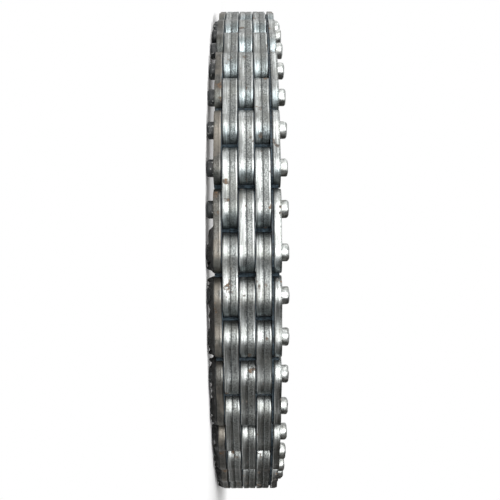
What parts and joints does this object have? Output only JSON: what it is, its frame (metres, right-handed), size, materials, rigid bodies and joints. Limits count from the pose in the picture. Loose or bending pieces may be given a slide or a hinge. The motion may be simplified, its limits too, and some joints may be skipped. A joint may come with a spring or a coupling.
{
  "type": "leaf chain",
  "caption": "Leaf chain for lifting: waisted steel plates interlaced on riveted pins, laid on its side as an open ring, with free end holes for anchor pins.",
  "frame": {"origin": "middle of the ring, on the plane that the lower pin heads rest on", "axes": "+Z along the pins, up; the front of the ring is at -Y and its opening at +Y"},
  "size_m": [0.2852, 0.2852, 0.0364],
  "materials": {
    "outer_link_steel": "oiled",
    "inner_link_steel": "oiled"
  },
  "bodies": {
    "inner_link_01": {"inner_link_01": "inner_link_steel"},
    "outer_link_02": {"outer_link_02": "outer_link_steel"},
    "inner_link_03": {"inner_link_03": "inner_link_steel"},
    "outer_link_04": {"outer_link_04": "outer_link_steel"},
    "inner_link_05": {"inner_link_05": "inner_link_steel"},
    "outer_link_06": {"outer_link_06": "outer_link_steel"},
    "inner_link_07": {"inner_link_07": "inner_link_steel"},
    "outer_link_08": {"outer_link_08": "outer_link_steel"},
    "inner_link_09": {"inner_link_09": "inner_link_steel"},
    "outer_link_10": {"outer_link_10": "outer_link_steel"},
    "inner_link_11": {"inner_link_11": "inner_link_steel"},
    "outer_link_12": {"outer_link_12": "outer_link_steel"},
    "inner_link_13": {"inner_link_13": "inner_link_steel"},
    "outer_link_14": {"outer_link_14": "outer_link_steel"},
    "inner_link_15": {"inner_link_15": "inner_link_steel"},
    "outer_link_16": {"outer_link_16": "outer_link_steel"},
    "inner_link_17": {"inner_link_17": "inner_link_steel"},
    "outer_link_18": {"outer_link_18": "outer_link_steel"},
    "inner_link_19": {"inner_link_19": "inner_link_steel"},
    "outer_link_20": {"outer_link_20": "outer_link_steel"},
    "inner_link_21": {"inner_link_21": "inner_link_steel"},
    "outer_link_22": {"outer_link_22": "outer_link_steel"},
    "inner_link_23": {"inner_link_23": "inner_link_steel"},
    "outer_link_24": {"outer_link_24": "outer_link_steel"},
    "inner_link_25": {"inner_link_25": "inner_link_steel"},
    "outer_link_26": {"outer_link_26": "outer_link_steel"},
    "inner_link_27": {"inner_link_27": "inner_link_steel"},
    "outer_link_28": {"outer_link_28": "outer_link_steel"},
    "inner_link_29": {"inner_link_29": "inner_link_steel"},
    "outer_link_30": {"outer_link_30": "outer_link_steel"},
    "inner_link_31": {"inner_link_31": "inner_link_steel"},
    "outer_link_32": {"outer_link_32": "outer_link_steel"},
    "inner_link_33": {"inner_link_33": "inner_link_steel"},
    "outer_link_34": {"outer_link_34": "outer_link_steel"},
    "inner_link_35": {"inner_link_35": "inner_link_steel"},
    "outer_link_36": {"outer_link_36": "outer_link_steel"},
    "inner_link_37": {"inner_link_37": "inner_link_steel"},
    "outer_link_38": {"outer_link_38": "outer_link_steel"},
    "inner_link_39": {"inner_link_39": "inner_link_steel"},
    "outer_link_40": {"outer_link_40": "outer_link_steel"},
    "inner_link_41": {"inner_link_41": "inner_link_steel"},
    "outer_link_42": {"outer_link_42": "outer_link_steel"},
    "inner_link_43": {"inner_link_43": "inner_link_steel"}
  },
  "joints": [
    {"name": "hinge_22_23", "type": "hinge", "parent": "outer_link_22", "child": "inner_link_23", "pos_m": [0, -0.13352, 0], "axis": [0, 0, 1], "range_deg": [-20, 0]},
    {"name": "hinge_23_24", "type": "hinge", "parent": "inner_link_23", "child": "outer_link_24", "pos_m": [0.019, -0.13216, 0], "axis": [0, 0, 1], "range_deg": [-20, 0]},
    {"name": "hinge_24_25", "type": "hinge", "parent": "outer_link_24", "child": "inner_link_25", "pos_m": [0.03762, -0.12811, 0], "axis": [0, 0, 1], "range_deg": [-20, 0]},
    {"name": "hinge_25_26", "type": "hinge", "parent": "inner_link_25", "child": "outer_link_26", "pos_m": [0.05547, -0.12145, 0], "axis": [0, 0, 1], "range_deg": [-20, 0]},
    {"name": "hinge_26_27", "type": "hinge", "parent": "outer_link_26", "child": "inner_link_27", "pos_m": [0.07218, -0.11232, 0], "axis": [0, 0, 1], "range_deg": [-20, 0]},
    {"name": "hinge_27_28", "type": "hinge", "parent": "inner_link_27", "child": "outer_link_28", "pos_m": [0.08744, -0.10091, 0], "axis": [0, 0, 1], "range_deg": [-20, 0]},
    {"name": "hinge_28_29", "type": "hinge", "parent": "outer_link_28", "child": "inner_link_29", "pos_m": [0.10091, -0.08744, 0], "axis": [0, 0, 1], "range_deg": [-20, 0]},
    {"name": "hinge_29_30", "type": "hinge", "parent": "inner_link_29", "child": "outer_link_30", "pos_m": [0.11232, -0.07218, 0], "axis": [0, 0, 1], "range_deg": [-20, 0]},
    {"name": "hinge_30_31", "type": "hinge", "parent": "outer_link_30", "child": "inner_link_31", "pos_m": [0.12145, -0.05547, 0], "axis": [0, 0, 1], "range_deg": [-20, 0]},
    {"name": "hinge_31_32", "type": "hinge", "parent": "inner_link_31", "child": "outer_link_32", "pos_m": [0.12811, -0.03762, 0], "axis": [0, 0, 1], "range_deg": [-20, 0]},
    {"name": "hinge_32_33", "type": "hinge", "parent": "outer_link_32", "child": "inner_link_33", "pos_m": [0.13216, -0.019, 0], "axis": [0, 0, 1], "range_deg": [-20, 0]},
    {"name": "hinge_33_34", "type": "hinge", "parent": "inner_link_33", "child": "outer_link_34", "pos_m": [0.13352, 0, 0], "axis": [0, 0, 1], "range_deg": [-20, 0]},
    {"name": "hinge_34_35", "type": "hinge", "parent": "outer_link_34", "child": "inner_link_35", "pos_m": [0.13216, 0.019, 0], "axis": [0, 0, 1], "range_deg": [-20, 0]},
    {"name": "hinge_35_36", "type": "hinge", "parent": "inner_link_35", "child": "outer_link_36", "pos_m": [0.12811, 0.03762, 0], "axis": [0, 0, 1], "range_deg": [-20, 0]},
    {"name": "hinge_36_37", "type": "hinge", "parent": "outer_link_36", "child": "inner_link_37", "pos_m": [0.12145, 0.05547, 0], "axis": [0, 0, 1], "range_deg": [-20, 0]},
    {"name": "hinge_37_38", "type": "hinge", "parent": "inner_link_37", "child": "outer_link_38", "pos_m": [0.11232, 0.07218, 0], "axis": [0, 0, 1], "range_deg": [-20, 0]},
    {"name": "hinge_38_39", "type": "hinge", "parent": "outer_link_38", "child": "inner_link_39", "pos_m": [0.10091, 0.08744, 0], "axis": [0, 0, 1], "range_deg": [-20, 0]},
    {"name": "hinge_39_40", "type": "hinge", "parent": "inner_link_39", "child": "outer_link_40", "pos_m": [0.08744, 0.10091, 0], "axis": [0, 0, 1], "range_deg": [-20, 0]},
    {"name": "hinge_40_41", "type": "hinge", "parent": "outer_link_40", "child": "inner_link_41", "pos_m": [0.07218, 0.11232, 0], "axis": [0, 0, 1], "range_deg": [-20, 0]},
    {"name": "hinge_41_42", "type": "hinge", "parent": "inner_link_41", "child": "outer_link_42", "pos_m": [0.05547, 0.12145, 0], "axis": [0, 0, 1], "range_deg": [-20, 0]},
    {"name": "hinge_42_43", "type": "hinge", "parent": "outer_link_42", "child": "inner_link_43", "pos_m": [0.03762, 0.12811, 0], "axis": [0, 0, 1], "range_deg": [-20, 0]},
    {"name": "hinge_21_22", "type": "hinge", "parent": "outer_link_22", "child": "inner_link_21", "pos_m": [-0.019, -0.13216, 0], "axis": [0, 0, 1], "range_deg": [0, 20]},
    {"name": "hinge_20_21", "type": "hinge", "parent": "inner_link_21", "child": "outer_link_20", "pos_m": [-0.03762, -0.12811, 0], "axis": [0, 0, 1], "range_deg": [0, 20]},
    {"name": "hinge_19_20", "type": "hinge", "parent": "outer_link_20", "child": "inner_link_19", "pos_m": [-0.05547, -0.12145, 0], "axis": [0, 0, 1], "range_deg": [0, 20]},
    {"name": "hinge_18_19", "type": "hinge", "parent": "inner_link_19", "child": "outer_link_18", "pos_m": [-0.07218, -0.11232, 0], "axis": [0, 0, 1], "range_deg": [0, 20]},
    {"name": "hinge_17_18", "type": "hinge", "parent": "outer_link_18", "child": "inner_link_17", "pos_m": [-0.08744, -0.10091, 0], "axis": [0, 0, 1], "range_deg": [0, 20]},
    {"name": "hinge_16_17", "type": "hinge", "parent": "inner_link_17", "child": "outer_link_16", "pos_m": [-0.10091, -0.08744, 0], "axis": [0, 0, 1], "range_deg": [0, 20]},
    {"name": "hinge_15_16", "type": "hinge", "parent": "outer_link_16", "child": "inner_link_15", "pos_m": [-0.11232, -0.07218, 0], "axis": [0, 0, 1], "range_deg": [0, 20]},
    {"name": "hinge_14_15", "type": "hinge", "parent": "inner_link_15", "child": "outer_link_14", "pos_m": [-0.12145, -0.05547, 0], "axis": [0, 0, 1], "range_deg": [0, 20]},
    {"name": "hinge_13_14", "type": "hinge", "parent": "outer_link_14", "child": "inner_link_13", "pos_m": [-0.12811, -0.03762, 0], "axis": [0, 0, 1], "range_deg": [0, 20]},
    {"name": "hinge_12_13", "type": "hinge", "parent": "inner_link_13", "child": "outer_link_12", "pos_m": [-0.13216, -0.019, 0], "axis": [0, 0, 1], "range_deg": [0, 20]},
    {"name": "hinge_11_12", "type": "hinge", "parent": "outer_link_12", "child": "inner_link_11", "pos_m": [-0.13352, 0, 0], "axis": [0, 0, 1], "range_deg": [0, 20]},
    {"name": "hinge_10_11", "type": "hinge", "parent": "inner_link_11", "child": "outer_link_10", "pos_m": [-0.13216, 0.019, 0], "axis": [0, 0, 1], "range_deg": [0, 20]},
    {"name": "hinge_09_10", "type": "hinge", "parent": "outer_link_10", "child": "inner_link_09", "pos_m": [-0.12811, 0.03762, 0], "axis": [0, 0, 1], "range_deg": [0, 20]},
    {"name": "hinge_08_09", "type": "hinge", "parent": "inner_link_09", "child": "outer_link_08", "pos_m": [-0.12145, 0.05547, 0], "axis": [0, 0, 1], "range_deg": [0, 20]},
    {"name": "hinge_07_08", "type": "hinge", "parent": "outer_link_08", "child": "inner_link_07", "pos_m": [-0.11232, 0.07218, 0], "axis": [0, 0, 1], "range_deg": [0, 20]},
    {"name": "hinge_06_07", "type": "hinge", "parent": "inner_link_07", "child": "outer_link_06", "pos_m": [-0.10091, 0.08744, 0], "axis": [0, 0, 1], "range_deg": [0, 20]},
    {"name": "hinge_05_06", "type": "hinge", "parent": "outer_link_06", "child": "inner_link_05", "pos_m": [-0.08744, 0.10091, 0], "axis": [0, 0, 1], "range_deg": [0, 20]},
    {"name": "hinge_04_05", "type": "hinge", "parent": "inner_link_05", "child": "outer_link_04", "pos_m": [-0.07218, 0.11232, 0], "axis": [0, 0, 1], "range_deg": [0, 20]},
    {"name": "hinge_03_04", "type": "hinge", "parent": "outer_link_04", "child": "inner_link_03", "pos_m": [-0.05547, 0.12145, 0], "axis": [0, 0, 1], "range_deg": [0, 20]},
    {"name": "hinge_02_03", "type": "hinge", "parent": "inner_link_03", "child": "outer_link_02", "pos_m": [-0.03762, 0.12811, 0], "axis": [0, 0, 1], "range_deg": [0, 20]},
    {"name": "hinge_01_02", "type": "hinge", "parent": "outer_link_02", "child": "inner_link_01", "pos_m": [-0.019, 0.13216, 0], "axis": [0, 0, 1], "range_deg": [0, 20]}
  ]
}
